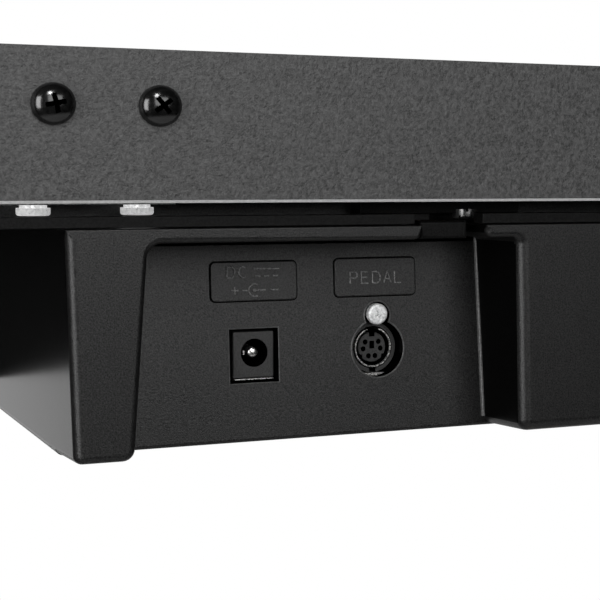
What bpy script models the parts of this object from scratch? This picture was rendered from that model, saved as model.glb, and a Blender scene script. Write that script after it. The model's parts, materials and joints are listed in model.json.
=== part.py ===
"""Slim digital piano on a furniture stand, in metres, +Z up.

The player sits at -Y. The origin is on the floor, at the middle of the object's box.
Sections through the main unit are given in millimetres: Y as on the object, and Z from the
rear board's lower edge, which every moulding of the main unit is set out from.
"""
import math

import bmesh
import bpy
from mathutils import Matrix, Vector

MM = 0.001

# Driving sizes of the main unit. Heights called Z_... are above the floor.
UNIT_HALF = 0.661
UNIT_BACK = 0.145
BOARD_SCREW_PROUD = 0.0031
UNIT_FRONT = -(UNIT_BACK + BOARD_SCREW_PROUD)
Z_BOARD_LOW = 0.700
BOARD_THICK = 0.015
BOARD_TALL = 0.032
END_BLOCK_WIDE = 0.048
GAP = 0.0003
INNER_HALF = UNIT_HALF - END_BLOCK_WIDE - 0.0006

# Keyboard: 52 naturals at 23.5 mm and 36 sharps.
NATURAL_PITCH = 0.0235
KEY_GAP = 0.0010
KEY_FRONT = -127.0
NATURAL_HEAD = 50.0
SHARP_WIDE = 0.0096
SHARP_CLEAR = 0.0011
NATURAL_TOP = 18.0
NATURAL_LOW = -2.0
SHARP_TOP = 30.0
SHARP_LOW = 10.2
NATURAL_PIVOT = (54.0, 6.0)
SHARP_PIVOT = (57.0, 14.0)
OCTAVES = 7
# The sharps of an octave by the natural on their left, with each one's shift from the joint.
SHARP_SHIFT = {"C": -0.0026, "D": 0.0026, "F": -0.0036, "G": 0.0, "A": 0.0036}

# Electronics housing under the rear of the main unit. Z values are from the board's lower edge.
HOUSING_RIGHT = 430.9
HOUSING_LEFT = 100.0
HOUSING_FRONT = 36.0
HOUSING_BACK = 140.0
HOUSING_LOW = -57.0
HOUSING_TOP = -5.6
HOUSING_WALL = 2.5
HOUSING_DRAFT = 2.2
RECESS_RIGHT = 414.0
RECESS_LEFT = 322.0
RECESS_CEILING = -8.8
PANEL_FACE = 120.0
PANEL_TILT = 1.5
POWER_JACK = (382.0, -36.6)
PEDAL_SOCKET = (350.0, -36.2)
SOCKET_SCREW = (350.2, -28.1)

# Stand.
PANEL_THICK = 0.018
PANEL_HALF_DEPTH = 0.125
FOOT_TALL = 0.040
FOOT_REACH = 0.140
PEDAL_PIVOT = (0.055, 0.078)
PEDAL_PITCH = 0.070
PEDAL_BOX_LOW = 0.040
PEDAL_BOX_TALL = 0.080
PEDAL_BOX_FRONT = -0.030
PEDAL_BOX_BACK = 0.090
BOX_WALL = 0.012
AXLE_RADIUS = 0.004
AXLE_HALF = 0.111
ADJUSTER_Y = 0.075

# Music rest, leaning back in its slot.
REST_LEAN = math.radians(14)
REST_TALL = 0.165
REST_HALF = 0.210
REST_THICK = 0.004
REST_SLOT = Vector((0, 0.0985, Z_BOARD_LOW + BOARD_TALL))
REST_TONGUE = 0.007


# ---------------------------------------------------------------- tools

def clear_scene():
    for obj in list(bpy.data.objects):
        bpy.data.objects.remove(obj, do_unlink=True)


def new_collection(name):
    made = bpy.data.collections.new(name)
    bpy.context.scene.collection.children.link(made)
    return made


def new_material(name, colour, roughness, metallic=0.0):
    made = bpy.data.materials.new(name)
    made.use_nodes = True
    shader = made.node_tree.nodes["Principled BSDF"]
    shader.inputs["Base Color"].default_value = (*colour, 1.0)
    shader.inputs["Roughness"].default_value = roughness
    shader.inputs["Metallic"].default_value = metallic
    return made


def place(name, mesh, material, matrix=None):
    """A new object of this mesh. With no material it is a cutter."""
    mesh.shade_smooth()
    mesh.set_sharp_from_angle(angle=math.radians(35))
    obj = bpy.data.objects.new(name, mesh)
    if matrix is not None:
        obj.matrix_world = matrix
    if material is None:
        CUTTERS.objects.link(obj)
        obj.hide_render = True
        obj.display_type = "WIRE"
    else:
        PARTS.objects.link(obj)
        mesh.materials.append(MATERIALS[material])
    return obj


def mesh_from(name, build):
    """A mesh of what the function build makes in an empty bmesh."""
    bm = bmesh.new()
    build(bm)
    mesh = bpy.data.meshes.new(name)
    bm.to_mesh(mesh)
    bm.free()
    return mesh


def block(name, low, high, material=None, low_inset=None):
    """A box between two corners. low_inset = (left, right, front, back) draws its underside in."""
    low, high = Vector(low), Vector(high)
    size, centre = high - low, (low + high) / 2

    def build(bm):
        bmesh.ops.create_cube(bm, size=1.0, matrix=Matrix.Diagonal((*size, 1.0)))
        if low_inset:
            left, right, front, back = low_inset
            for vert in bm.verts:
                if vert.co.z < 0:
                    vert.co.x += left if vert.co.x < 0 else -right
                    vert.co.y += front if vert.co.y < 0 else -back

    return place(name, mesh_from(name, build), material, Matrix.Translation(centre))


def section_block(name, x, y, z, material=None, low_inset=None):
    """A box given in section millimetres: X as on the object, Y, and Z from the board's lower edge."""
    low = section_point(x[0], y[0], z[0])
    high = section_point(x[1], y[1], z[1])
    inset = [value * MM for value in low_inset] if low_inset else None
    return block(name, low, high, material, inset)


def section_point(x, y, z):
    return Vector((x * MM, y * MM, Z_BOARD_LOW + z * MM))


TURNS = {
    "X": Matrix.Rotation(math.radians(90), 4, "Y"),
    "Y": Matrix.Rotation(math.radians(-90), 4, "X"),
    "Z": Matrix.Identity(4),
}


def cylinder(name, centre, radius, length, axis, material=None, sides=32, end_radius=None):
    """A cylinder or cone about axis X, Y or Z. end_radius is the radius at its +axis end."""
    def build(bm):
        bmesh.ops.create_cone(
            bm,
            cap_ends=True,
            segments=sides,
            radius1=radius,
            radius2=radius if end_radius is None else end_radius,
            depth=length,
        )

    matrix = Matrix.Translation(Vector(centre)) @ TURNS[axis]
    return place(name, mesh_from(name, build), material, matrix)


def extruded(name, outline, span, along, material=None):
    """A flat outline, extruded from span[0] to span[1] along X, Y or Z.

    The outline is in (Y, Z) along X, in (X, Z) along Y, and in (X, Y) along Z.
    """
    curve = bpy.data.curves.new(name + "_outline", "CURVE")
    curve.dimensions = "2D"
    curve.fill_mode = "BOTH"
    curve.extrude = (span[1] - span[0]) / 2
    spline = curve.splines.new("POLY")
    spline.points.add(len(outline) - 1)
    for point, (across, up) in zip(spline.points, outline):
        point.co = (across, up, 0, 1)
    spline.use_cyclic_u = True
    shape = bpy.data.objects.new(name + "_outline", curve)
    bpy.context.scene.collection.objects.link(shape)
    bpy.context.view_layer.update()
    graph = bpy.context.evaluated_depsgraph_get()
    mesh = bpy.data.meshes.new_from_object(shape.evaluated_get(graph))
    bpy.data.objects.remove(shape)
    bm = bmesh.new()
    bm.from_mesh(mesh)
    bmesh.ops.remove_doubles(bm, verts=bm.verts, dist=1e-6)
    bmesh.ops.recalc_face_normals(bm, faces=bm.faces)
    bm.to_mesh(mesh)
    bm.free()
    mesh.name = name
    middle = (span[0] + span[1]) / 2
    frames = {
        "X": Matrix(((0, 0, 1, middle), (1, 0, 0, 0), (0, 1, 0, 0), (0, 0, 0, 1))),
        "Y": Matrix(((1, 0, 0, 0), (0, 0, -1, middle), (0, 1, 0, 0), (0, 0, 0, 1))),
        "Z": Matrix.Translation((0, 0, middle)),
    }
    return place(name, mesh, material, frames[along])


def profile(name, points, half_width, material):
    """A section in millimetres, extruded along X over the unit's width."""
    outline = [(y * MM, Z_BOARD_LOW + z * MM) for y, z in points]
    return extruded(name, outline, (-half_width, half_width), "X", material)


def turned(name, outline, centre, axis, material, steps=32):
    """A turned shape. The outline holds (radius, height) pairs from top to bottom."""
    def build(bm):
        verts = [bm.verts.new((radius, 0, height)) for radius, height in outline]
        for first, second in zip(verts, verts[1:]):
            bm.edges.new((first, second))

    matrix = Matrix.Translation(Vector(centre)) @ TURNS[axis]
    obj = place(name, mesh_from(name, build), material, matrix)
    screw = obj.modifiers.new("turn", "SCREW")
    screw.steps = screw.render_steps = steps
    screw.use_merge_vertices = True
    screw.merge_threshold = 0.00001
    return obj


def boolean(obj, other, operation):
    modifier = obj.modifiers.new(other.name, "BOOLEAN")
    modifier.operation = operation
    modifier.object = other
    modifier.solver = "EXACT"


def cut(obj, *cutters):
    for cutter in cutters:
        boolean(obj, cutter, "DIFFERENCE")


def join(obj, *others):
    for other in others:
        boolean(obj, other, "UNION")


def arc(centre, radius, start, end, steps):
    """Points along an arc, with angles in degrees."""
    angles = [math.radians(start + (end - start) * i / steps) for i in range(steps + 1)]
    return [(centre[0] + radius * math.cos(a), centre[1] + radius * math.sin(a)) for a in angles]


def set_origin(obj, point):
    """Moves the object's origin to a joint's axis and leaves its shape where it is."""
    shift = obj.matrix_world.inverted() @ Vector(point)
    obj.data.transform(Matrix.Translation(-shift))
    obj.matrix_world = obj.matrix_world @ Matrix.Translation(shift)


# ---------------------------------------------------------------- main unit: case

def make_rear_board():
    low = (-UNIT_HALF, UNIT_BACK - BOARD_THICK, Z_BOARD_LOW)
    high = (UNIT_HALF, UNIT_BACK, Z_BOARD_LOW + BOARD_TALL)
    board = block("rear_board", low, high, "laminate")
    cut(board, *[hole_for(screw) for screw in BOARD_SCREWS])
    return board


BOARD_SCREWS = {"rear_board_screw_1": 435.2, "rear_board_screw_2": 412.6}
BOARD_SCREW_Z = 20.3
BRACKET_SCREWS = {"bracket_screw_1": 435.2, "bracket_screw_2": 411.8}
BRACKET_SCREW_Y = 124.0
CASE_SCREW = (327.1, 122.0)


def hole_for(screw):
    centre = section_point(BOARD_SCREWS[screw], 135, BOARD_SCREW_Z)
    return cylinder(screw + "_hole", centre, 0.0024, 0.030, "Y", sides=16)


def make_board_screws():
    """Black truss-head screws, from the outside through the board into the bracket."""
    for name, x in BOARD_SCREWS.items():
        head = [(0.0, 0.0), (1.9, -0.3), (3.3, -1.2), (4.25, -2.5), (4.25, -2.8)]
        shank = [(2.0, -2.8), (2.0, -20.0), (0.0, -20.0)]
        centre = section_point(x, (UNIT_BACK + BOARD_SCREW_PROUD) / MM, BOARD_SCREW_Z)
        outline = [(r * MM, z * MM) for r, z in head + shank]
        turned(name, outline, centre, "Y", "black_steel", steps=20)


def make_bracket_and_screws():
    """Steel angle that ties the rear board to the rail, with zinc screws up into the rail."""
    middle = sum(BRACKET_SCREWS.values()) / 2
    outline = [(117.8, -0.5), (129.6, -0.5), (129.6, 28.0), (127.9, 28.0), (127.9, 1.2), (117.8, 1.2)]
    outline = [(y * MM, Z_BOARD_LOW + z * MM) for y, z in outline]
    span = ((middle - 19) * MM, (middle + 19) * MM)
    bracket = extruded("rear_bracket", outline, span, "X", "zinc")
    for name in BOARD_SCREWS:
        cut(bracket, bpy.data.objects[name + "_hole"])
    for name, x in BRACKET_SCREWS.items():
        centre = section_point(x, BRACKET_SCREW_Y, 4)
        cut(bracket, cylinder(name + "_hole", centre, 0.0018, 0.028, "Z", sides=12))
        small_screw(name, section_point(x, BRACKET_SCREW_Y, -0.8), shank=14.5)
    return bracket


def small_screw(name, head_top, shank):
    """A zinc pan-head screw that points up, with its head below head_top."""
    outline = [(0.0, shank), (1.5, shank), (1.5, 0.0), (3.2, 0.0), (3.25, -0.9), (2.6, -1.8), (0.0, -2.1)]
    turned(name, [(r * MM, z * MM) for r, z in outline], head_top, "Z", "zinc", steps=16)


def make_rear_rail():
    """Wooden rail along the back of the tray, which the board and the case hang on."""
    rail = section_block("rear_rail", (-612, 612), (117.5, 127.5), (1.5, 27.6), "wood")
    for name in BRACKET_SCREWS:
        cut(rail, bpy.data.objects[name + "_hole"])
    x, y = CASE_SCREW
    hole = cylinder("case_screw_hole", section_point(x, y, 4), 0.0018, 0.028, "Z", sides=12)
    cut(rail, hole)
    small_screw("case_screw", section_point(x, y, -2.2), shank=15.0)
    return rail


def make_bottom_case():
    """Moulded tray: a deep tub under the keys, with a rib along its rear, and a shallow floor behind it."""
    points = [(-133, 4), (-133, -38), (26, -38), (26, -51), (32, -51), (32, -5.3), (117, -5.3), (117, 24)]
    points += [(114, 24), (114, -2.3), (29, -2.3), (29, -35), (-130, -35), (-130, 4)]
    case = profile("bottom_case", points, INNER_HALF, "case_plastic")
    wiring = section_block("wiring_opening", (140, 400), (76, 108), (-10, 0))
    notch = section_block("case_notch", (315.5, 334), (112.5, 120), (-10, 1))
    cut(case, wiring, notch)
    return case


def make_end_block(name, side):
    outline = [(129.6, -37.9), (129.6, 32), (35, 32)]
    front = UNIT_FRONT / MM
    outline += arc((front + 14, 13), 14, 94, 180, 6)
    outline += arc((front + 6, -31.9), 6, 180, 270, 3)
    outline = [(y * MM, Z_BOARD_LOW + z * MM) for y, z in outline]
    span = sorted((side * UNIT_HALF, side * (UNIT_HALF - END_BLOCK_WIDE)))
    return extruded(name, outline, span, "X", "laminate")


def make_front_rail():
    front = UNIT_FRONT / MM
    points = [(-133.6, -38), (-133.6, 8)] + arc((front + 6, 2), 6, 90, 180, 4)
    points += arc((front + 6, -32), 6, 180, 270, 4)
    return profile("front_rail", points, INNER_HALF, "laminate")


CONTROLS_Y = 90.0
POWER_X = -455.0
VOLUME_X = -425.0
BUTTONS = {"voice_button": -385.0, "metronome_button": -363.0, "record_button": -341.0}
BUTTON_WIDE = 15.0
BUTTON_DEEP = 6.5
GRILLE_X = (480.0, 596.0)
GRILLE_Y = (73.5, 111.5)


def make_top_panel():
    points = [(25, 20.5), (28.5, 20.5), (28.5, 28), (129.6, 28), (129.6, 32), (25, 32)]
    panel = profile("top_panel", points, INNER_HALF, "case_plastic")
    for name, x in (("power", POWER_X), ("volume", VOLUME_X)):
        radius = 0.0066 if name == "power" else 0.0036
        cut(panel, cylinder(name + "_hole", section_point(x, CONTROLS_Y, 30), radius, 0.02, "Z", sides=24))
    for name, x in BUTTONS.items():
        across = (x - BUTTON_WIDE / 2 - 0.4, x + BUTTON_WIDE / 2 + 0.4)
        along = (CONTROLS_Y - BUTTON_DEEP / 2 - 0.4, CONTROLS_Y + BUTTON_DEEP / 2 + 0.4)
        cut(panel, section_block(name + "_hole", across, along, (20, 40)))
    for side in (-1, 1):
        across = sorted((side * GRILLE_X[0], side * GRILLE_X[1]))
        cut(panel, section_block(f"grille_hole_{side}", across, GRILLE_Y, (20, 40)))
    cut(panel, rest_slot())
    return panel


def make_grille(name, side):
    """A slotted plate let into the top panel, over a speaker."""
    across = sorted((side * (GRILLE_X[0] + 0.4), side * (GRILLE_X[1] - 0.4)))
    along = (GRILLE_Y[0] + 0.4, GRILLE_Y[1] - 0.4)
    grille = section_block(name, across, along, (29.2, 31.8), "case_plastic")
    slots = 10
    pitch = (across[1] - across[0]) / slots
    inset = 6.0
    for i in range(slots):
        centre = across[0] + pitch * (i + 0.5)
        low_high = (along[0] + inset, along[1] - inset)
        cut(grille, section_block(f"{name}_slot_{i}", (centre - 2.6, centre + 2.6), low_high, (25, 35)))
    return grille


def make_speaker(name, side):
    """A racetrack-shaped driver: rim, tapering basket and magnet, facing up."""
    middle = side * (GRILLE_X[0] + GRILLE_X[1]) / 2
    y = sum(GRILLE_Y) / 2
    rim = section_block(name, (middle - 55, middle + 55), (y - 18.4, y + 18.4), (24, 27.6), "driver")
    basket = section_block(
        name + "_basket", (middle - 50, middle + 50), (y - 16, y + 16), (8, 25), None, (28, 28, 4, 4)
    )
    magnet = cylinder(name + "_magnet", section_point(middle, y, 4.0), 0.015, 0.011, "Z", sides=24)
    cone = section_block(
        name + "_cone", (middle - 46, middle + 46), (y - 14, y + 14), (14, 35), None, (30, 30, 9, 9)
    )
    join(rim, basket, magnet)
    cut(rim, cone)
    return rim


def make_controls():
    cylinder("power_button", section_point(POWER_X, CONTROLS_Y, 28.6), 0.0059, 0.0112, "Z", "key_black")
    centre = section_point(VOLUME_X, CONTROLS_Y, 36.4)
    knob = cylinder("volume_knob", centre, 0.0085, 0.008, "Z", "key_black", 40, 0.0078)
    stem = cylinder("volume_stem", centre - Vector((0, 0, 0.0079)), 0.0030, 0.012, "Z", sides=20)
    across = (VOLUME_X - 0.5, VOLUME_X + 0.5)
    mark = section_block("volume_mark", across, (CONTROLS_Y + 2, CONTROLS_Y + 12), (39.8, 42))
    join(knob, stem)
    cut(knob, mark)
    for name, x in BUTTONS.items():
        across = (x - BUTTON_WIDE / 2, x + BUTTON_WIDE / 2)
        along = (CONTROLS_Y - BUTTON_DEEP / 2, CONTROLS_Y + BUTTON_DEEP / 2)
        section_block(name, across, along, (23.5, 33.4), "key_black")


# ---------------------------------------------------------------- main unit: electronics

def make_housing():
    """Moulded box under the case. A recess in its back face holds the sockets."""
    draft = HOUSING_DRAFT
    housing = section_block(
        "electronics_housing",
        (HOUSING_LEFT, HOUSING_RIGHT),
        (HOUSING_FRONT, HOUSING_BACK),
        (HOUSING_LOW, HOUSING_TOP),
        "case_plastic",
        (draft, draft, draft, 0),
    )
    inner_low = HOUSING_LOW + HOUSING_WALL
    inside = section_block(
        "housing_inside",
        (HOUSING_LEFT + HOUSING_WALL, HOUSING_RIGHT - HOUSING_WALL),
        (HOUSING_FRONT + HOUSING_WALL, PANEL_FACE - PANEL_TILT - HOUSING_WALL),
        (inner_low, 5),
        None,
        (draft, draft, draft, 0),
    )
    inside_left = section_block(
        "housing_inside_left",
        (HOUSING_LEFT + HOUSING_WALL, RECESS_LEFT - HOUSING_WALL - 1.5),
        (100, HOUSING_BACK - HOUSING_WALL),
        (inner_low, 5),
        None,
        (draft, 0, 0, 0),
    )
    cut(housing, inside, inside_left, recess_cutter())
    lip_slot = section_block("lip_slot", (331, 348.2), (114, 145), (-9.5, 0))
    x, z = POWER_JACK
    jack_hole = section_block("jack_hole", (x - 5.9, x + 6.5), (110, 130), (z - 6.3, z + 6.5))
    cut(housing, lip_slot, jack_hole)
    for name, (x, z), radius, length in (
        ("socket_hole", PEDAL_SOCKET, 0.00695, 0.030),
        ("socket_screw_hole", SOCKET_SCREW, 0.00335, 0.028),
    ):
        cut(housing, cylinder(name, section_point(x, PANEL_FACE, z), radius, length, "Y", sides=32))
    tongue = section_block("lip_tongue", (334.9, 350), (130, 138.6), (RECESS_CEILING, -3.8))
    join(housing, tongue, *board_posts(inner_low))
    return housing


def recess_cutter():
    """The socket recess: open at the back and below, with its far face tilted up a little."""
    low, high = HOUSING_LOW - 3, RECESS_CEILING
    cutter = section_block("socket_recess", (RECESS_LEFT, RECESS_RIGHT), (PANEL_FACE, 150), (low, high))
    for vert in cutter.data.vertices:
        below = vert.co.z < 0
        if vert.co.y < 0:
            vert.co.y += PANEL_TILT * MM * (1 if below else -1)
        if below:
            vert.co.x += 2.9 * MM if vert.co.x > 0 else -1.3 * MM
    return cutter


CIRCUIT_X = (150.0, 420.0)
CIRCUIT_Y = (46.0, 114.0)
CIRCUIT_TOP = -43.8


def board_posts(floor):
    top = CIRCUIT_TOP - 1.6 - 0.3
    posts = []
    for i, x in enumerate((CIRCUIT_X[0] + 8, CIRCUIT_X[1] - 8)):
        for j, y in enumerate((CIRCUIT_Y[0] + 6, CIRCUIT_Y[1] - 12)):
            centre = section_point(x, y, (floor + top) / 2 - 0.5)
            posts.append(cylinder(f"post_{i}{j}", centre, 0.003, (top - floor + 1) * MM, "Z", sides=12))
    return posts


def make_electronics():
    section_block("main_circuit_board", CIRCUIT_X, CIRCUIT_Y, (CIRCUIT_TOP - 1.6, CIRCUIT_TOP), "circuit")
    x, z = POWER_JACK
    across, up = (x - 5.2, x + 5.2), (z - 5.45, z + 5.75)
    jack = section_block("dc_jack_body", across, (105, 118.8), up, "socket_plastic")
    barrel = section_point(x - 0.2, 114.3, z + 0.6)
    cut(jack, cylinder("dc_barrel", barrel, 0.0032, 0.010, "Y", sides=32))
    pin = section_point(x - 0.2, 113.9, z + 0.6)
    cylinder("dc_jack_pin", pin, 0.00105, 0.0085, "Y", "zinc", sides=20)
    x, z = PEDAL_SOCKET
    centre = section_point(x, 110.6, z)
    socket = cylinder("pedal_socket_body", centre, 0.0063, 0.0132, "Y", "socket_plastic", 40)
    flange = section_block("socket_flange", (x - 7.2, x + 7.2), (112.6, 115.6), (z - 7.2, z + 12.5))
    screw_x, screw_z = SOCKET_SCREW
    boss = cylinder("socket_boss", section_point(screw_x, 117, screw_z), 0.0029, 0.004, "Y", sides=24)
    groove = cylinder("socket_groove", section_point(x, 114.5, z), 0.0052, 0.009, "Y", sides=40)
    core = cylinder("socket_core", section_point(x, 112.8, z), 0.0038, 0.0084, "Y", sides=32)
    bore = cylinder("socket_screw_bore", section_point(screw_x, 115, screw_z), 0.0016, 0.02, "Y", sides=16)
    join(socket, flange, boss)
    cut(socket, groove)
    join(socket, core)
    cut(socket, bore)
    ring = cylinder("pedal_socket_ring", section_point(x, 114.0, z), 0.0050, 0.0072, "Y", "zinc", 40)
    cut(ring, cylinder("ring_bore", section_point(x, 114.0, z), 0.0045, 0.02, "Y", sides=40))
    outline = [(0.0, 1.9), (1.5, 1.7), (2.4, 1.0), (2.6, 0.0), (1.2, 0.0), (1.2, -5.0), (0.0, -5.0)]
    centre = section_point(screw_x, 119.4, screw_z)
    turned("pedal_socket_screw", [(r * MM, h * MM) for r, h in outline], centre, "Y", "zinc", steps=20)
    return jack


def make_headphone_unit():
    """Box under the keybed with two phone sockets facing the player."""
    draft = (2, 2, 0, 2)
    unit = section_block("headphone_unit", (-600, -548), (-128, -86), (-60, -38.3), "case_plastic", draft)
    for i, x in enumerate((-586.5, -561.5)):
        centre = section_point(x, -118, -49)
        cut(unit, cylinder(f"phone_socket_{i}", centre, 0.0033, 0.056, "Y", sides=24))
    return unit


# ---------------------------------------------------------------- keyboard

def make_key_frame():
    """Frame in the tub: floor, front guide, rib for the contact board, and the pivot shelf."""
    points = [(-120, -34.5), (28.3, -34.5), (28.3, -2), (72, -2), (72, 9), (69, 9), (69, 0.5)]
    points += [(56, 0.5), (54, 2.5), (52, 0.5), (24.8, 0.5), (24.8, -31.5)]
    points += [(-38, -31.5), (-38, -16.3), (-44, -16.3), (-44, -31.5)]
    points += [(-94, -31.5), (-94, -14), (-100, -14), (-100, -31.5), (-120, -31.5)]
    frame = profile("key_frame", points, INNER_HALF - 0.0004, "frame_steel")
    section_block("key_contact_board", (-605, 605), (-70, -12), (-16, -14.4), "circuit")
    section_block("key_felt", (-611.5, 611.5), (21.3, 24.6), (19.6, 22.6), "felt")
    return frame


def key_groups():
    """The moulded strips: for each, its naturals as (name, left edge)."""
    names = ["A", "B"] + list("CDEFGAB") * OCTAVES + ["C"]
    left = -len(names) * NATURAL_PITCH / 2
    edges = [(name, left + i * NATURAL_PITCH) for i, name in enumerate(names)]
    cuts = [0] + [2 + 7 * octave for octave in range(1, OCTAVES)] + [len(names)]
    return [edges[start:end] for start, end in zip(cuts, cuts[1:])]


def sharps_of(group):
    """Centre lines of a strip's sharps. The one after its last natural is never in the strip."""
    return [
        edge + NATURAL_PITCH + SHARP_SHIFT[name] for name, edge in group[:-1] if name in SHARP_SHIFT
    ]


def natural_outline(group):
    """Seen from above: seven or more keys with slots for the sharps, joined by a bar behind."""
    front, head = KEY_FRONT * MM, (KEY_FRONT + NATURAL_HEAD) * MM
    bar_front, bar_back = 0.046, 0.060
    half_slot = SHARP_WIDE / 2 + SHARP_CLEAR
    points = []
    for i, (name, edge) in enumerate(group):
        left, right = edge + KEY_GAP / 2, edge + NATURAL_PITCH - KEY_GAP / 2
        points += [(left, front), (right, front)]
        if i == len(group) - 1:
            break
        if name in SHARP_SHIFT:
            centre = edge + NATURAL_PITCH + SHARP_SHIFT[name]
            points += [(right, head), (centre - half_slot, head), (centre - half_slot, bar_front)]
            points += [(centre + half_slot, bar_front), (centre + half_slot, head)]
            points += [(right + KEY_GAP, head)]
        else:
            points += [(right, bar_front), (right + KEY_GAP, bar_front)]
    last_right = group[-1][1] + NATURAL_PITCH - KEY_GAP / 2
    first_left = group[0][1] + KEY_GAP / 2
    return points + [(last_right, bar_back), (first_left, bar_back)]


def make_naturals(name, group):
    heights = [Z_BOARD_LOW + z * MM for z in (NATURAL_LOW, NATURAL_TOP)]
    strip = extruded(name, natural_outline(group), heights, "Z", "key_white")
    x = (group[0][1] / MM - 5, group[-1][1] / MM + 30)
    cut(strip, section_block(name + "_over_bar", x, (30, 70), (9, 40)))
    cut(strip, section_block(name + "_under_tail", x, (18, 70), (-10, 3)))
    set_origin(strip, section_point(1000 * group[0][1], *NATURAL_PIVOT))
    return strip


def make_sharps(name, group):
    """Tapered black keys, joined by a bar behind the fallboard."""
    front, neck = (KEY_FRONT + NATURAL_HEAD + 1.2) * MM, 0.050
    half = SHARP_WIDE / 2
    points = []
    for centre in sharps_of(group):
        left, right = centre - half, centre + half
        points += [(left, neck), (left, front), (right, front), (right, neck)]
    first, last = points[0][0], points[-1][0]
    points = points[:-1] + [(last, 0.062), (first, 0.062)]
    heights = [Z_BOARD_LOW + z * MM for z in (SHARP_LOW, SHARP_TOP)]
    strip = extruded(name, points, heights, "Z", "key_black")
    x = (first / MM - 5, last / MM + 5)
    cut(strip, section_block(name + "_over_bar", x, (20, 70), (18.8, 40)))
    nose = [(-2, 11.5), (10, 40), (-2, 40)]
    outline = [(front + y * MM, Z_BOARD_LOW + z * MM) for y, z in nose]
    cut(strip, extruded(name + "_slope", outline, (x[0] * MM, x[1] * MM), "X"))
    set_origin(strip, section_point(1000 * first, *SHARP_PIVOT))
    return strip


# ---------------------------------------------------------------- music rest

def rest_matrix():
    return Matrix.Translation(REST_SLOT) @ Matrix.Rotation(-REST_LEAN, 4, "X")


def rest_slot():
    slot = block("rest_slot", (-REST_HALF - 0.001, -0.0027, -0.02), (REST_HALF + 0.001, 0.0027, 0.02))
    slot.matrix_world = rest_matrix() @ slot.matrix_world
    return slot


def make_music_rest():
    """Sheet with round upper corners, a ledge for the book and a tongue in the panel's slot."""
    radius = 0.030
    outline = [(-REST_HALF, -REST_TONGUE), (REST_HALF, -REST_TONGUE)]
    outline += arc((REST_HALF - radius, REST_TALL - radius), radius, 0, 90, 8)
    outline += arc((radius - REST_HALF, REST_TALL - radius), radius, 90, 180, 8)
    rest = extruded("music_rest", outline, (-REST_THICK / 2, REST_THICK / 2), "Y", "case_plastic")
    shelf = [(-0.018, 0.006), (0.001, 0.006), (0.001, 0.009)]
    shelf += [(-0.015, 0.009), (-0.015, 0.012), (-0.018, 0.012)]
    ledge = extruded("rest_ledge", shelf, (0.01 - REST_HALF, REST_HALF - 0.01), "X")
    for obj in (rest, ledge):
        obj.matrix_world = rest_matrix() @ obj.matrix_world
    join(rest, ledge)
    return rest


# ---------------------------------------------------------------- stand

def make_side_panel(name, side):
    x = sorted((side * UNIT_HALF, side * (UNIT_HALF - PANEL_THICK)))
    top = Z_BOARD_LOW - 0.0379 - GAP
    low = (x[0], -PANEL_HALF_DEPTH, FOOT_TALL + GAP)
    return block(name, low, (x[1], PANEL_HALF_DEPTH, top), "laminate")


def make_foot(name, side):
    """Sled under a side panel, with its front sloped down to a rounded nose."""
    middle = side * (UNIT_HALF - PANEL_THICK / 2)
    reach = FOOT_REACH
    outline = [(-reach, 0), (reach, 0)] + arc((reach - 0.012, FOOT_TALL - 0.012), 0.012, 0, 90, 4)
    outline += [(-reach + 0.045, FOOT_TALL)] + arc((-reach + 0.010, 0.012), 0.010, 115, 180, 3)
    return extruded(name, outline, (middle - 0.016, middle + 0.016), "X", "laminate")


def make_stand():
    inner = UNIT_HALF - PANEL_THICK - GAP
    for name, side in (("left", -1), ("right", 1)):
        make_side_panel(name + "_side_panel", side)
        make_foot(name + "_foot", side)
    block("stand_back_panel", (-inner, 0.100, 0.300), (inner, 0.115, 0.540), "laminate")


def make_pedal_box():
    """Channel between the side panels, open behind, with a slot for each pedal."""
    inner = UNIT_HALF - PANEL_THICK - GAP
    front, back = PEDAL_BOX_FRONT, PEDAL_BOX_BACK
    low, high = PEDAL_BOX_LOW + GAP, PEDAL_BOX_LOW + PEDAL_BOX_TALL
    outline = [(back, low), (back, low + BOX_WALL), (front + BOX_WALL, low + BOX_WALL)]
    outline += [(front + BOX_WALL, high - BOX_WALL), (back, high - BOX_WALL), (back, high)]
    outline += [(front, high), (front, low)]
    box = extruded("pedal_box", outline, (-inner, inner), "X", "laminate")
    z = PEDAL_PIVOT[1]
    for i in (-1, 0, 1):
        x = i * PEDAL_PITCH
        low_corner = (x - 0.0115, front - 0.01, z - 0.020)
        cut(box, block(f"pedal_slot_{i}", low_corner, (x + 0.0115, front + 0.02, z + 0.008)))
    cut(box, cylinder("adjuster_hole", (0, ADJUSTER_Y, PEDAL_BOX_LOW), 0.006, 0.06, "Z", sides=20))
    return box


def make_pedal_bracket():
    """Steel plate on the box floor: four ears carry the axle and three pads stop the pedals."""
    y, z = PEDAL_PIVOT
    low = PEDAL_BOX_LOW + BOX_WALL + 2 * GAP
    half = AXLE_HALF - 0.003
    bracket = block("pedal_bracket", (-half, -0.010, low), (half, y + 0.012, low + 0.0025), "frame_steel")
    for i in (-1, 0, 1):
        x = i * PEDAL_PITCH
        low_corner = (x - 0.007, 0.002, low + 0.001)
        join(bracket, block(f"pedal_pad_{i}", low_corner, (x + 0.007, 0.010, z - 0.0150)))
    for i in (-3, -1, 1, 3):
        x = i * PEDAL_PITCH / 2
        low_corner = (x - 0.0015, y - 0.009, low + 0.001)
        join(bracket, block(f"bracket_ear_{i}", low_corner, (x + 0.0015, y + 0.009, z + 0.009)))
    cut(bracket, cylinder("bracket_bore", (0, y, z), AXLE_RADIUS + 0.0003, 0.3, "X", sides=32))
    cylinder("pedal_axle", (0, y, z), AXLE_RADIUS, 2 * AXLE_HALF, "X", "zinc", sides=32)
    return bracket


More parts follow.
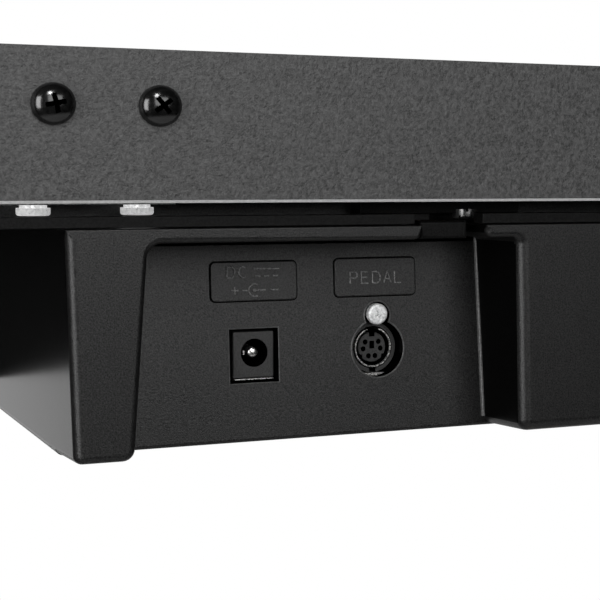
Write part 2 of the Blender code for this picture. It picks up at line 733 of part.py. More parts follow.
def make_height_adjuster():
    """Round foot under the pedal box, on a stem that screws into the box."""
    knob = cylinder("height_adjuster", (0, ADJUSTER_Y, 0.006), 0.022, 0.012, "Z", "key_black", 40, 0.019)
    stem = cylinder("adjuster_stem", (0, ADJUSTER_Y, 0.030), 0.005, 0.040, "Z", sides=20)
    join(knob, stem)
    return knob


def make_pedal(name, x):
    """Cast lever: a narrow arm on the axle that flares into a rounded toe."""
    y, z = PEDAL_PIVOT
    arm, toe, tip = 0.008, 0.0125, -0.115
    outline = [(x - arm, y + 0.012), (x - arm, -0.045), (x - toe, -0.085)]
    outline += arc((x, tip + toe), toe, 180, 360, 10)
    outline += [(x + toe, -0.085), (x + arm, -0.045), (x + arm, y + 0.012)]
    pedal = extruded(name, outline, (z - 0.0055, z + 0.0055), "Z", "brass")
    hub = cylinder(name + "_hub", (x, y, z), 0.010, 0.016, "X", sides=32)
    bore = cylinder(name + "_bore", (x, y, z), AXLE_RADIUS + 0.00008, 0.03, "X", sides=32)
    join(pedal, hub)
    cut(pedal, bore)
    set_origin(pedal, (x, y, z))
    return pedal


# ---------------------------------------------------------------- assembly

clear_scene()
PARTS = new_collection("digital_piano_on_stand")
CUTTERS = new_collection("cutters")
MATERIALS = {
    name: new_material(name, colour, roughness, metallic)
    for name, colour, roughness, metallic in (
        ("laminate", (0.050, 0.050, 0.051), 0.55, 0.0),
        ("case_plastic", (0.030, 0.031, 0.031), 0.55, 0.0),
        ("socket_plastic", (0.040, 0.040, 0.040), 0.50, 0.0),
        ("black_steel", (0.010, 0.010, 0.010), 0.25, 0.6),
        ("zinc", (0.75, 0.76, 0.76), 0.30, 1.0),
        ("wood", (0.45, 0.33, 0.22), 0.70, 0.0),
        ("key_white", (0.86, 0.85, 0.81), 0.25, 0.0),
        ("key_black", (0.015, 0.015, 0.015), 0.40, 0.0),
        ("felt", (0.25, 0.015, 0.020), 0.95, 0.0),
        ("circuit", (0.02, 0.12, 0.05), 0.50, 0.0),
        ("frame_steel", (0.45, 0.46, 0.47), 0.40, 1.0),
        ("driver", (0.04, 0.04, 0.04), 0.70, 0.0),
        ("brass", (0.75, 0.55, 0.25), 0.25, 1.0),
    )
}

make_rear_board()
make_board_screws()
make_bracket_and_screws()
make_rear_rail()
make_bottom_case()
make_front_rail()
make_top_panel()
for word, sign in (("left", -1), ("right", 1)):
    make_end_block(word + "_end_block", sign)
    make_grille(word + "_speaker_grille", sign)
    make_speaker(word + "_speaker", sign)
make_controls()
make_housing()
make_electronics()
make_headphone_unit()
make_key_frame()
for number, naturals in enumerate(key_groups(), start=1):
    make_naturals(f"white_keys_{number}", naturals)
    make_sharps(f"black_keys_{number}", naturals)
make_music_rest()
make_stand()
make_pedal_box()
make_pedal_bracket()
make_height_adjuster()
for number, pedal_name in enumerate(("soft_pedal", "sostenuto_pedal", "damper_pedal")):
    make_pedal(pedal_name, (number - 1) * PEDAL_PITCH)
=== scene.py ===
"""Looks of the slim digital piano on its furniture stand.

Lengths in the shape functions are millimetres. "Section" coordinates are X and Y as on the object and
Z from the rear board's lower edge. The back of the object is at +Y, and the player's right is at +X.
"""
import json
import math

import bmesh
import bpy
from mathutils import Matrix, Vector

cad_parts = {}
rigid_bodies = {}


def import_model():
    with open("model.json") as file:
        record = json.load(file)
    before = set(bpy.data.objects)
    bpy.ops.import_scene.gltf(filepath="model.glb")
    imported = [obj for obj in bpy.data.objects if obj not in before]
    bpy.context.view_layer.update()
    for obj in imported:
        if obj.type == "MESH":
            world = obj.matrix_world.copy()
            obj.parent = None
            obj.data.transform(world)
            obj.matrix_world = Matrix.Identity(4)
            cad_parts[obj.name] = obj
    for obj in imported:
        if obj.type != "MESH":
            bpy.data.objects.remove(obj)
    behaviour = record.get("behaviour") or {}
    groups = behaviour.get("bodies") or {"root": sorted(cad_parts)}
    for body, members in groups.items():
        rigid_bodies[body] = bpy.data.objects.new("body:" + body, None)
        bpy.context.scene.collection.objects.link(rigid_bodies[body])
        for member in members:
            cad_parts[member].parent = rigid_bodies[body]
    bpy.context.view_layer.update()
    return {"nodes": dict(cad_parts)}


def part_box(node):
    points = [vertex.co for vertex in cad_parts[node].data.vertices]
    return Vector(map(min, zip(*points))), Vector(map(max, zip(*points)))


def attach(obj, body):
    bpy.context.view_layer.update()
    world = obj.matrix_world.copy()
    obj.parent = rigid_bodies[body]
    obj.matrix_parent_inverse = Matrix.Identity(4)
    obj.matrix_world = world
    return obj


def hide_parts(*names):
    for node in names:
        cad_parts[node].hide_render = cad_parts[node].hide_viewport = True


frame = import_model()

MM = 0.001
CASE = "stand_and_case"
BOARD_LOW, BOARD_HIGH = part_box("rear_board")
HOUSING_LOW, HOUSING_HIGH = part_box("electronics_housing")
SECTION = Vector((0, 0, BOARD_LOW.z))


# ---------------------------------------------------------------- helpers

def section(x, y, z):
    """A place of the object, from section millimetres."""
    return SECTION + Vector((x, y, z)) * MM


def in_section(point):
    """A point of the object, in section millimetres."""
    return (point - SECTION) / MM


def arc(x, y, radius, start, end, steps=6):
    """Points along an arc, from one angle to the other in degrees."""
    angles = [math.radians(start + (end - start) * i / steps) for i in range(steps + 1)]
    return [(x + radius * math.cos(a), y + radius * math.sin(a)) for a in angles]


def piece(name, bm, material, body=CASE, replaces=(), sharp=30):
    """Makes the bmesh an object that rides on a body."""
    mesh = bpy.data.meshes.new(name)
    bmesh.ops.recalc_face_normals(bm, faces=bm.faces)
    bm.to_mesh(mesh)
    bm.free()
    mesh.shade_smooth()
    mesh.set_sharp_from_angle(angle=math.radians(sharp))
    obj = bpy.data.objects.new(name, mesh)
    bpy.context.scene.collection.objects.link(obj)
    for made in material if isinstance(material, (list, tuple)) else [material]:
        mesh.materials.append(made)
    if body:
        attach(obj, body)
    if replaces:
        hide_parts(*replaces)
    return obj


def inward(outline):
    """For each outline point, the way to move it for each millimetre that the outline shrinks."""
    points = [Vector(point) for point in outline]
    area = sum(a.x * b.y - b.x * a.y for a, b in zip(points, points[1:] + points[:1]))
    side = 1 if area > 0 else -1
    ways = []
    for i, here in enumerate(points):
        before = (here - points[i - 1]).normalized()
        after = (points[(i + 1) % len(points)] - here).normalized()
        sum_of_normals = Vector((-before.y - after.y, before.x + after.x)) * side
        ways.append(sum_of_normals / (1 + before.dot(after)))
    return ways


def skin(bm, rings, ends):
    """Faces between rings of equal length, and over the first and last ring."""
    for first, second in zip(rings, rings[1:]):
        for i in range(len(first)):
            j = (i + 1) % len(first)
            bm.faces.new((first[i], first[j], second[j], second[i]))
    if ends:
        bm.faces.new(rings[0])
        bm.faces.new(rings[-1])


def prism(outline, near, far, near_round=0, far_round=0, place=section, steps=6):
    """A solid of an (x, z) outline between two depths, with rounded end rims.

    A rounding is one radius, or one for each outline point.
    """
    bm = bmesh.new()
    count = len(outline)
    ways = inward(outline)
    rings = []
    for end, rounding, towards in ((near, near_round, 1), (far, far_round, -1)):
        radii = rounding if isinstance(rounding, list) else [rounding] * count
        levels = range(steps + 1) if any(radii) else [steps]
        end_rings = []
        for k in levels:
            turn = math.pi / 2 * k / steps
            ring = []
            for (x, z), way, radius in zip(outline, ways, radii):
                inset = radius * (1 - math.sin(turn))
                depth = end + towards * radius * (1 - math.cos(turn))
                ring.append(bm.verts.new(place(x + way.x * inset, depth, z + way.y * inset)))
            end_rings.append(ring)
        rings += end_rings if towards > 0 else reversed(end_rings)
    skin(bm, rings, ends=True)
    return bm


def round_edges(obj, width, segments=3, angle=30):
    """Rounds the edges that are sharper than an angle, by a width in millimetres."""
    bevel = obj.modifiers.new("edges", "BEVEL")
    bevel.limit_method = "ANGLE"
    bevel.angle_limit = math.radians(angle)
    bevel.width = width * MM
    bevel.segments = segments


def keep_flats():
    """Keeps flat faces evenly shaded beside their rounded edges."""
    for obj in bpy.context.scene.collection.objects:
        if obj.type == "MESH" and obj.data.materials:
            obj.modifiers.new("shading", "WEIGHTED_NORMAL").keep_sharp = True


def bake(obj):
    """Applies the object's modifiers."""
    bpy.context.view_layer.update()
    graph = bpy.context.evaluated_depsgraph_get()
    mesh = bpy.data.meshes.new_from_object(obj.evaluated_get(graph))
    obj.modifiers.clear()
    obj.data = mesh
    return obj


def cut(obj, *cutters):
    """Cuts the shapes out of the object and removes them."""
    for cutter in cutters:
        modifier = obj.modifiers.new("cut", "BOOLEAN")
        modifier.operation = "DIFFERENCE"
        modifier.object = cutter
        modifier.solver = "EXACT"
        modifier.material_mode = "TRANSFER"
    bake(obj)
    for cutter in cutters:
        bpy.data.objects.remove(cutter)
    obj.data.set_sharp_from_angle(angle=math.radians(30))
    return obj


def tool(name, bm, material=None):
    """A shape that only cuts another, and leaves its faces black as painted shade, or of the given material.
    """
    return piece(name, bm, material or SHADE_BLACK, body=None)


def box_bm(low, high):
    """A box between two section corners."""
    bm = bmesh.new()
    low, high = section(*low), section(*high)
    size, centre = high - low, (low + high) / 2
    matrix = Matrix.Translation(centre) @ Matrix.Diagonal((*size, 1))
    bmesh.ops.create_cube(bm, size=1, matrix=matrix)
    return bm


ALONG = {
    "X": Matrix.Rotation(math.radians(90), 4, "Y"),
    "Y": Matrix.Rotation(math.radians(-90), 4, "X"),
    "Z": Matrix.Identity(4),
}


def turned(profile, centre, axis, steps=40):
    """A turned closed shape. The profile runs from the tip, on the axis, to the base, in millimetres."""
    bm = bmesh.new()
    matrix = Matrix.Translation(centre) @ ALONG[axis]
    rings = []
    for radius, height in profile:
        count = steps if radius > 1e-6 else 1
        ring = []
        for i in range(count):
            turn = 2 * math.pi * i / steps
            point = Vector((radius * math.cos(turn), radius * math.sin(turn), height)) * MM
            ring.append(bm.verts.new(matrix @ point))
        rings.append(ring)
    for first, second in zip(rings, rings[1:]):
        for i in range(steps):
            j = (i + 1) % steps
            corners = [first[i % len(first)], first[j % len(first)]]
            corners += [second[j % len(second)], second[i % len(second)]]
            corners = list(dict.fromkeys(corners))
            if len(corners) > 2:
                bm.faces.new(corners)
    for ring in (rings[0], rings[-1]):
        if len(ring) > 1:
            bm.faces.new(ring)
    return bm


def open_ring(profile, centre, axis, gap_at, gap, steps=48):
    """A turned ring with a gap in degrees. Its closed profile is (radius, height) in millimetres."""
    bm = bmesh.new()
    matrix = Matrix.Translation(centre) @ ALONG[axis]
    rings = []
    for i in range(steps + 1):
        turn = math.radians(gap_at + gap / 2 + (360 - gap) * i / steps)
        points = [(r * math.cos(turn), r * math.sin(turn), h) for r, h in profile]
        rings.append([bm.verts.new(matrix @ (Vector(point) * MM)) for point in points])
    skin(bm, rings, ends=True)
    return bm


# ---------------------------------------------------------------- materials

class Nodes:
    """A new node material with its Principled shader, and short ways to add to it."""

    def __init__(self, name, colour, roughness, metallic=0.0, **sockets):
        self.material = bpy.data.materials.new(name)
        self.material.use_nodes = True
        self.tree = self.material.node_tree
        self.shader = self.tree.nodes["Principled BSDF"]
        base = {"Base Color": (*colour, 1), "Roughness": roughness, "Metallic": metallic}
        self.set(self.shader, **base, **sockets)
        self.where = self.tree.nodes.new("ShaderNodeTexCoord").outputs["Object"]

    def set(self, node, **sockets):
        for name, value in sockets.items():
            node.inputs[name].default_value = value
        return node

    def link(self, output, node, socket):
        self.tree.links.new(output, node.inputs[socket])

    def scaled(self, scale):
        mapping = self.tree.nodes.new("ShaderNodeMapping")
        mapping.inputs["Scale"].default_value = scale
        self.link(self.where, mapping, "Vector")
        return mapping.outputs["Vector"]

    def noise(self, size, detail=2.0, rough=0.5, where=None):
        """Noise with features about size millimetres across."""
        node = self.tree.nodes.new("ShaderNodeTexNoise")
        self.set(node, Scale=1000 / size, Detail=detail, Roughness=rough)
        self.link(where or self.where, node, "Vector")
        return node.outputs["Fac"]

    def cells(self, size, feature="F1", where=None):
        node = self.tree.nodes.new("ShaderNodeTexVoronoi")
        node.feature = feature
        self.set(node, Scale=1000 / size)
        self.link(where or self.where, node, "Vector")
        return node.outputs["Distance"]

    def ramp(self, value, stops):
        node = self.tree.nodes.new("ShaderNodeValToRGB")
        points = node.color_ramp.elements
        while len(points) < len(stops):
            points.new(0.5)
        for point, (place, colour) in zip(points, stops):
            point.position = place
            point.color = (*colour, 1) if isinstance(colour, tuple) else (colour, colour, colour, 1)
        self.link(value, node, "Fac")
        return node.outputs["Color"]

    def math(self, kind, first, second=None, clamp=False):
        node = self.tree.nodes.new("ShaderNodeMath")
        node.operation = kind
        node.use_clamp = clamp
        for i, value in enumerate((first, second)):
            if value is None:
                continue
            if isinstance(value, (int, float)):
                node.inputs[i].default_value = value
            else:
                self.tree.links.new(value, node.inputs[i])
        return node.outputs["Value"]

    def bump(self, height, distance, strength=1.0):
        """Adds relief, distance in millimetres, on top of the relief so far."""
        node = self.tree.nodes.new("ShaderNodeBump")
        self.set(node, Strength=strength, Distance=distance * MM)
        self.link(height, node, "Height")
        before = self.shader.inputs["Normal"]
        if before.is_linked:
            self.link(before.links[0].from_socket, node, "Normal")
        self.link(node.outputs["Normal"], self.shader, "Normal")

    def colour(self, output):
        self.link(output, self.shader, "Base Color")

    def roughness(self, output):
        self.link(output, self.shader, "Roughness")


def laminate():
    """Black foil with a fine leather grain."""
    made = Nodes("laminate", (0.05, 0.05, 0.05), 0.45)
    grain = made.noise(0.85, 3, 0.6)
    fine = made.noise(0.45, 2, 0.5)
    mixed = made.math("ADD", made.math("MULTIPLY", grain, 0.7), made.math("MULTIPLY", fine, 0.3))
    made.colour(made.ramp(mixed, [(0.35, 0.018), (0.65, 0.083)]))
    made.roughness(made.ramp(grain, [(0.35, 0.40), (0.65, 0.52)]))
    made.bump(mixed, 0.3, 0.6)
    return made.material


def moulding(name, colour, roughness=0.42, grain=0.45, relief=0.05, gloss=0.5, lines=()):
    """Spark-eroded black plastic. lines are the X places of fine witness lines, in millimetres."""
    made = Nodes(name, (colour, colour, colour), roughness)
    fine = made.noise(grain, 3, 0.6)
    broad = made.noise(14, 2, 0.5)
    mixed = made.math("ADD", made.math("MULTIPLY", fine, 0.7), made.math("MULTIPLY", broad, 0.3))
    made.colour(made.ramp(mixed, [(0.35, colour * 0.7), (0.65, colour * 1.4)]))
    made.roughness(made.ramp(fine, [(0.35, roughness * 0.88), (0.65, roughness * 1.12)]))
    made.link(made.ramp(fine, [(0.3, gloss * 0.55), (0.7, gloss * 1.45)]), made.shader, "Specular IOR Level")
    made.bump(fine, relief, 0.7)
    split = made.tree.nodes.new("ShaderNodeSeparateXYZ")
    made.link(made.where, split, "Vector")
    half_width, rise = 0.12, 0.06
    for place in lines:
        off = made.math("ABSOLUTE", made.math("SUBTRACT", split.outputs["X"], place * MM))
        made.bump(made.math("LESS_THAN", off, half_width * MM), rise)
    return made.material


def metal(name, colour, roughness, size=0.5, metallic=1.0, glow=0.0):
    """Plated metal with a cloudy tint. A painted glow lifts pieces that are in the board's shadow."""
    made = Nodes(name, colour, roughness, metallic, **{"Emission Strength": glow})
    cloud = made.noise(size, 3, 0.6)
    low = tuple(c * 0.55 for c in colour)
    tint = made.ramp(cloud, [(0.35, low), (0.65, colour)])
    made.colour(tint)
    made.link(tint, made.shader, "Emission Color")
    made.roughness(made.ramp(cloud, [(0.3, roughness * 0.7), (0.7, roughness * 1.4)]))
    made.bump(cloud, 0.04, 0.5)
    return made.material


def brushed(name, colour, roughness, along):
    """Metal with fine polishing lines along one axis."""
    made = Nodes(name, colour, roughness, 1.0)
    scale = [1.0, 1.0, 1.0]
    scale["XYZ".index(along)] = 0.03
    lines = made.noise(0.5, 3, 0.6, made.scaled(scale))
    made.roughness(made.ramp(lines, [(0.3, roughness * 0.7), (0.7, roughness * 1.5)]))
    made.colour(made.ramp(made.noise(25, 3), [(0.3, tuple(c * 0.82 for c in colour)), (0.7, colour)]))
    made.bump(lines, 0.01, 0.3)
    return made.material


def wood():
    """Unfinished softwood with its grain along X."""
    made = Nodes("bare_wood", (0.45, 0.33, 0.22), 0.65)
    rings = made.noise(4, 4, 0.6, made.scaled((0.05, 1, 1)))
    made.colour(made.ramp(rings, [(0.3, (0.30, 0.19, 0.10)), (0.7, (0.55, 0.41, 0.27))]))
    made.bump(rings, 0.1, 0.4)
    return made.material


def felt():
    """Red felt with short fibres."""
    made = Nodes("red_felt", (0.25, 0.012, 0.02), 0.95, **{"Sheen Weight": 0.6, "Sheen Roughness": 0.5})
    fibres = made.noise(0.5, 5, 0.7)
    made.colour(made.ramp(fibres, [(0.3, (0.12, 0.005, 0.01)), (0.7, (0.33, 0.02, 0.03))]))
    made.bump(fibres, 0.3, 0.8)
    return made.material


def circuit():
    """Green circuit board with a pattern of tracks."""
    made = Nodes("circuit_board", (0.02, 0.12, 0.05), 0.35)
    tracks = made.cells(3.0, "DISTANCE_TO_EDGE")
    made.colour(made.ramp(tracks, [(0.04, (0.05, 0.25, 0.10)), (0.06, (0.012, 0.09, 0.035))]))
    made.bump(tracks, 0.05, 0.4)
    return made.material


def ivory():
    """White key plastic, a little cloudy, with a thin clear coat."""
    made = Nodes("key_white", (0.86, 0.85, 0.81), 0.28, **{"Coat Weight": 0.3, "Coat Roughness": 0.15})
    grain = made.noise(2.5, 3, 0.5, made.scaled((1, 0.08, 1)))
    made.colour(made.ramp(grain, [(0.35, (0.80, 0.79, 0.745)), (0.65, (0.87, 0.865, 0.83))]))
    made.roughness(made.ramp(made.noise(1.2, 3), [(0.35, 0.24), (0.65, 0.34)]))
    made.bump(grain, 0.01, 0.5)
    return made.material


def ebony():
    """Matt black key plastic with a fine grain along the key."""
    made = Nodes("key_black", (0.012, 0.012, 0.012), 0.38)
    grain = made.noise(0.6, 3, 0.6, made.scaled((1, 0.05, 1)))
    made.colour(made.ramp(grain, [(0.35, 0.008), (0.65, 0.018)]))
    made.roughness(made.ramp(grain, [(0.35, 0.33), (0.65, 0.45)]))
    made.bump(grain, 0.02, 0.5)
    return made.material


def cone_paper():
    """Black pulp of the speaker cones."""
    made = Nodes("cone_paper", (0.03, 0.03, 0.03), 0.85)
    pulp = made.noise(0.8, 5, 0.7)
    made.colour(made.ramp(pulp, [(0.3, 0.02), (0.7, 0.05)]))
    made.bump(pulp, 0.2, 0.6)
    return made.material


def enamel():
    """Glossy black coating of the board's screws."""
    made = Nodes("black_enamel", (0.004, 0.004, 0.004), 0.2, **{"Specular IOR Level": 0.75})
    cloud = made.noise(0.8, 3)
    made.colour(made.ramp(cloud, [(0.3, 0.003), (0.7, 0.007)]))
    made.roughness(made.ramp(cloud, [(0.3, 0.14), (0.7, 0.22)]))
    made.bump(cloud, 0.01, 0.3)
    return made.material


def pale_edge_and_highlight():
    """Cut edge of the board's foil, painted pale enough to stand in for the highlight along it too."""
    made = Nodes("foil_edge_and_highlight", (0.45, 0.44, 0.42), 0.5)
    cloud = made.noise(0.7, 3)
    made.colour(made.ramp(cloud, [(0.3, 0.62), (0.7, 0.80)]))
    made.bump(cloud, 0.03, 0.5)
    return made.material


LAMINATE = laminate()
HOUSING_PLASTIC = moulding("housing_plastic", 0.004, 0.40, 0.36, 0.08, lines=(421.4, 314.8))
# Smoother, near-black copies for the faces along the mould's draw; the dark colour is painted shade.
SHADED_HOUSING_SIDE = moulding("housing_side_painted_shade", 0.0006, 0.22, 0.4, 0.01, gloss=0.11)
SHADED_RECESS_SIDE = moulding("recess_side_painted_shade", 0.0008, 0.5, 0.4, 0.02, gloss=0.06)
# Black for faces inside cuts and gaps: painted shade.
SHADE_BLACK = moulding("unlit_inside", 0.0006, 0.9, gloss=0)
# Darker copy of the case plastic for the pieces under the board: painted shade.
SHADED_SKIRT_PLASTIC = moulding("skirt_plastic_painted_shade", 0.003, 0.5, gloss=0.17)
TONGUE_PLASTIC = moulding("tongue_plastic", 0.003, 0.45, gloss=0.12)
# The strokes' light grey is painted highlight on their raised edges.
STROKE_HIGHLIGHT_PLASTIC = moulding("stroke_painted_highlight", 0.105, 0.28, 0.5, 0.02, gloss=0.8)
CASE_PLASTIC = moulding("case_plastic", 0.008, 0.45, gloss=0.5)
SOCKET_PLASTIC = moulding("socket_plastic", 0.02, 0.45, 0.25, 0.04)
# Light grey that stands for the highlights on the rims and the recess's corner: painted highlight.
RIM_HIGHLIGHT_PLASTIC = moulding("rim_painted_highlight", 0.05, 0.35, 0.5, 0.005)
ENAMEL = enamel()
FOIL_EDGE_AND_HIGHLIGHT = pale_edge_and_highlight()
ZINC = metal("zinc", (0.97, 0.98, 0.98), 0.5, 0.7, 0.6)
# The bracket screws' zinc glows: painted light for heads in the board's shadow.
GLOWING_ZINC = metal("zinc_painted_glow", (0.98, 0.98, 0.98), 0.55, 0.5, 0.1, glow=0.5)
SHADED_ZINC = metal("shaded_zinc", (0.42, 0.42, 0.42), 0.3, 1.0, 0.9)
SHELL = metal("bright_shell", (0.90, 0.89, 0.87), 0.28)
FRAME_STEEL = brushed("frame_steel", (0.45, 0.46, 0.47), 0.35, "X")
BRASS = brushed("brass", (0.72, 0.50, 0.20), 0.20, "Y")
WOOD = wood()
FELT = felt()
CIRCUIT = circuit()
IVORY = ivory()
EBONY = ebony()
CONE = cone_paper()


# ---------------------------------------------------------------- rear board and its screws

def make_board():
    """Foil-covered board, with the pale cut of the foil along its lower back edge, painted pale as a
    highlight too.
    """
    low, high = in_section(BOARD_LOW), in_section(BOARD_HIGH)
    chamfer = 0.6
    outline = [
        (low.y, low.z),
        (high.y - chamfer, low.z),
        (high.y, low.z + chamfer),
        (high.y, high.z),
        (low.y, high.z),
    ]
    bm = bmesh.new()
    rings = [[bm.verts.new(section(x, y, z)) for y, z in outline] for x in (low.x, high.x)]
    for i in range(5):
        j = (i + 1) % 5
        face = bm.faces.new((rings[0][i], rings[0][j], rings[1][j], rings[1][i]))
        face.material_index = 1 if i == 1 else 0
    bm.faces.new(rings[0])
    bm.faces.new(rings[1])
    board = piece("board", bm, [LAMINATE, FOIL_EDGE_AND_HIGHLIGHT], replaces=["rear_board"])
    return board


def cross_recess(name, centre, axis, size, depth, turn, material=None):
    """A tapering cross, for cutting a screw's recess. It opens along +axis."""
    bm = bmesh.new()
    matrix = Matrix.Translation(centre) @ ALONG[axis] @ Matrix.Rotation(math.radians(turn), 4, "Z")
    rings = []
    mouth = (0.4, size * 0.52, size * 0.12)
    floor = (-depth, size * 0.16, size * 0.05)
    quarters = [Matrix.Rotation(math.radians(90 * k), 2) for k in range(4)]
    for height, reach, half in (mouth, floor):
        arm = [(reach, -half), (reach, half), (half, half)]
        outline = [quarter @ Vector(point) for quarter in quarters for point in arm]
        rings.append([bm.verts.new(matrix @ (Vector((*point, height)) * MM)) for point in outline])
    skin(bm, rings, ends=True)
    # Without a given material, the recess's faces are painted black as painted shade.
    return tool(name, bm, material)


def quarter_turns(steps):
    """Angles from the tip to the rim of a dome."""
    return [math.pi / 2 * i / steps for i in range(steps + 1)]


def make_board_screws():
    """Domed heads with a straight rim. They look a little wider than they are high."""
    rim, shank, end = 0.25, 2.0, 19
    for name, turn in (("rear_board_screw_1", 12), ("rear_board_screw_2", 38)):
        low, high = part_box(name)
        radius = (high.x - low.x) / 2 / MM
        tip = Vector(((low.x + high.x) / 2, high.y, (low.z + high.z) / 2))
        tall = (tip.y - BOARD_HIGH.y) / MM - 0.3
        profile = [(radius * math.sin(a), -tall * (1 - math.cos(a))) for a in quarter_turns(18)]
        profile += [(radius, -tall - rim), (shank, -tall - rim), (shank, -end), (0, -end)]
        bm = turned(profile, tip, "Y", 48)
        head = piece(name + "_head", bm, ENAMEL, replaces=[name], sharp=50)
        cut(head, cross_recess(name + "_recess", tip, "Y", 4.6, 2.6, turn))
        wider = Matrix.Translation(tip) @ Matrix.Diagonal((1.1, 1, 1.02, 1)) @ Matrix.Translation(-tip)
        head.data.transform(wider)


def pan_head(name, new_name, turn, radius, material, lower=0.0, shank=1.5):
    """A pan-head screw on a split washer, head down."""
    low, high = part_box(name)
    tip = Vector(((low.x + high.x) / 2, (low.y + high.y) / 2, low.z - lower * MM))
    tall, edge = 1.7, 0.6
    end = (high.z - low.z) / MM
    profile = [(0, 0), (radius - edge, 0)] + arc(radius - edge, edge, edge, -90, 0, 4)[1:]
    profile += [(radius, tall), (shank, tall), (shank, end), (0, end)]
    bm = turned(profile, tip, "Z", 40)
    head = piece(new_name, bm, material, replaces=[name], sharp=40)
    recess = cross_recess(name + "_recess", tip, "Z", 3.4, 1.5, turn)
    over = Matrix.Translation(tip) @ Matrix.Scale(-1, 4, (0, 0, 1)) @ Matrix.Translation(-tip)
    recess.data.transform(over)
    recess.data.flip_normals()
    cut(head, recess)
    inner, outer, under, top = 1.7, 3.0, tall + 0.02, tall + 0.6
    washer = [(inner, under), (outer, under), (outer, top), (inner, top)]
    ring = open_ring(washer, tip, "Z", 75, 12)
    piece(new_name + "_washer", ring, material)


# ---------------------------------------------------------------- electronics housing

# Pairs are at the top and at the bottom of the housing.
RECESS_RIGHT = (414.0, 416.9)
RECESS_LEFT = (322.0, 320.7)
PANEL_Y = (118.5, 121.5)
# Lower edge of the lip over the recess, and the gap in the lip.
RECESS_CEILING = -8.8
LIP_SLOT = (331.0, 348.2)
# How far each end wall leans in towards the bottom.
DRAFT = 1.4
# Where the shells round the recess start, inside the box.
SHELL_FRONT = 114.0
BACK = in_section(HOUSING_HIGH).y
FRONT = in_section(HOUSING_LOW).y
TOP = -5.6
BOTTOM = in_section(HOUSING_LOW).z
RIGHT = in_section(HOUSING_HIGH).x + 0.9
LEFT = in_section(HOUSING_LOW).x


def panel_y(z):
    """Depth of the socket panel, which leans."""
    share = (TOP - z) / (TOP - BOTTOM)
    return PANEL_Y[0] + (PANEL_Y[1] - PANEL_Y[0]) * share


def leaning(x, depth, z):
    """The housing's shells: the underside rises a little behind the socket panel."""
    rise, lower_part, height = 1.3, -40, 17
    back = max(0, depth - 121) / (BACK - 121)
    down = min(1, max(0, lower_part - z) / height)
    return section(x, depth, z + rise * back * down)


def polish_and_shade_sides(obj, material):
    """The faces along the mould's draw are smoother than the grained ones, and darker as painted shade."""
    obj.data.materials.append(material)
    for polygon in obj.data.polygons:
        if abs(polygon.normal.x) > 0.97:
            polygon.material_index = len(obj.data.materials) - 1


def make_rib():
    """The right-hand rib, which turns into the lip over the recess."""
    outline = [(LIP_SLOT[1], TOP)]
    outline += arc(LIP_SLOT[1] + 1.6, RECESS_CEILING + 1.6, 1.6, 180, 270, 5)
    rounding = [0.3] + [0.9] * 6
    outline += arc(RECESS_RIGHT[0] - 3.4, RECESS_CEILING - 3.4, 3.4, 90, 0, 7)
    rounding += [1.4] * 8
    outline += arc(RECESS_RIGHT[1] + 2.8, BOTTOM + 2.8, 2.8, 180, 270, 6)
    rounding += [1.8] * 7
    outline += arc(RIGHT - DRAFT - 2, BOTTOM + 2, 2, 270, 360, 7)
    rounding += [2.0, 2.0, 2.1, 2.2, 2.3, 2.4, 2.4, 2.4]
    outline += [(RIGHT - DRAFT * 2 / (TOP - BOTTOM - 2), TOP - 2), (RIGHT, TOP)]
    rounding += [2.4, 0.3]
    bm = prism(outline, SHELL_FRONT, BACK, 0, rounding, leaning)
    rib = piece("housing_rib", bm, HOUSING_PLASTIC)
    polish_and_shade_sides(rib, SHADED_HOUSING_SIDE)


def make_left_body():
    """The rest of the back face, on the player's left of the recess, with its short stretch of lip."""
    outline = [(LIP_SLOT[0], TOP)] + arc(LIP_SLOT[0] - 2.1, RECESS_CEILING + 2.1, 2.1, 0, -90, 4)
    rounding = [0.3] + [2.0, 2.0, 1.8, 1.6, 1.5]
    outline += arc(RECESS_LEFT[0] + 1.6, RECESS_CEILING - 1.6, 1.6, 90, 180, 4)
    rounding += [1.5, 1.7, 2.0, 2.3, 2.6]
    outline += arc(RECESS_LEFT[1] - 3.0, BOTTOM + 3.0, 3.0, 0, -90, 5)
    rounding += [2.8] * 6
    outline += arc(LEFT + DRAFT + 4.5, BOTTOM + 4.5, 4.5, 270, 180, 6)
    rounding += [2.8] * 7
    outline += [(LEFT, TOP)]
    rounding += [0.3]
    # A hair less deep than the rib, so that no faces coincide where they meet.
    apart = 0.02
    bm = prism(outline, SHELL_FRONT + apart, BACK - apart, 0, rounding, leaning)
    body = piece("housing_left_body", bm, HOUSING_PLASTIC)
    polish_and_shade_sides(body, SHADED_RECESS_SIDE)


# Centres of the openings (X, Z), and the sizes of the square and the round one.
POWER_JACK = (382.1, -36.6)
PEDAL_SOCKET = (350.0, -36.2)
SOCKET_SCREW = (350.2, -28.1)
HOLE_X = (-5.9, 6.5)
HOLE_Z = (-6.3, 6.5)
HOLE_RADIUS = 6.95
LOBE_RADIUS = 3.35


def keyhole_outline():
    """The round opening with the screw's smaller lobe above it."""
    x, z = PEDAL_SOCKET
    high = SOCKET_SCREW[1] - z
    # The circles cross at this height above the socket's centre.
    cross = (high * high + HOLE_RADIUS**2 - LOBE_RADIUS**2) / (2 * high)
    big = math.degrees(math.asin(cross / HOLE_RADIUS))
    small = math.degrees(math.asin((cross - high) / LOBE_RADIUS))
    points = arc(x, z, HOLE_RADIUS, 180 - big, 360 + big, 44)
    points += arc(x, SOCKET_SCREW[1], LOBE_RADIUS, small, 180 - small, 22)
    return points


CORE_BACK = 120


def with_panel(x, depth, z):
    """The main box: its back end leans with the socket panel, its front end is upright."""
    is_back = depth > (FRONT + CORE_BACK) / 2
    return section(x, depth + (panel_y(z) - CORE_BACK if is_back else 0), z)


